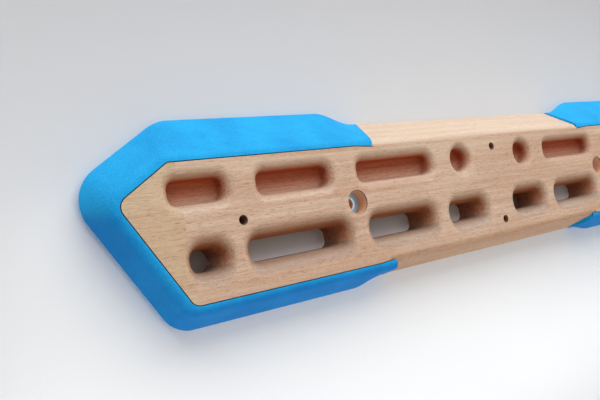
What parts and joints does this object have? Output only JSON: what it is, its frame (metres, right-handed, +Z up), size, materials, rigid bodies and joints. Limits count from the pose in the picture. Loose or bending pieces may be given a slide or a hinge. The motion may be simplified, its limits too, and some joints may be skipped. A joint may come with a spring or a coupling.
{
  "type": "hangboard",
  "caption": "Wall-mounted climbing training board: a beech core with finger pockets and through slots between two cast end caps.",
  "frame": {"origin": "on the back face, half way along the board and half way between the seams of the caps", "axes": "+X along the board, +Y out of the back into the wall, +Z up"},
  "size_m": [0.8104, 0.034, 0.1546],
  "materials": {
    "beech": "sanded beech, unvarnished",
    "pale_beech": "sanded beech, paler stave",
    "blue_polyurethane": "blue cast resin, finely rough",
    "washer_steel": "plain steel",
    "screw_zinc": "zinc plated"
  },
  "bodies": {
    "root": {"wood_core_middle": "beech", "wood_core_left_end": "pale_beech", "wood_core_right_end": "pale_beech", "end_cap_left": "blue_polyurethane", "end_cap_right": "blue_polyurethane", "bolt_washer_left": "washer_steel", "bolt_washer_right": "washer_steel", "cap_screw_left_1": "screw_zinc", "cap_screw_right_1": "screw_zinc", "cap_screw_left_2": "screw_zinc", "cap_screw_right_2": "screw_zinc", "cap_screw_left_3": "screw_zinc", "cap_screw_right_3": "screw_zinc", "cap_screw_left_4": "screw_zinc", "cap_screw_right_4": "screw_zinc", "cap_screw_left_5": "screw_zinc", "cap_screw_right_5": "screw_zinc"}
  },
  "joints": []
}
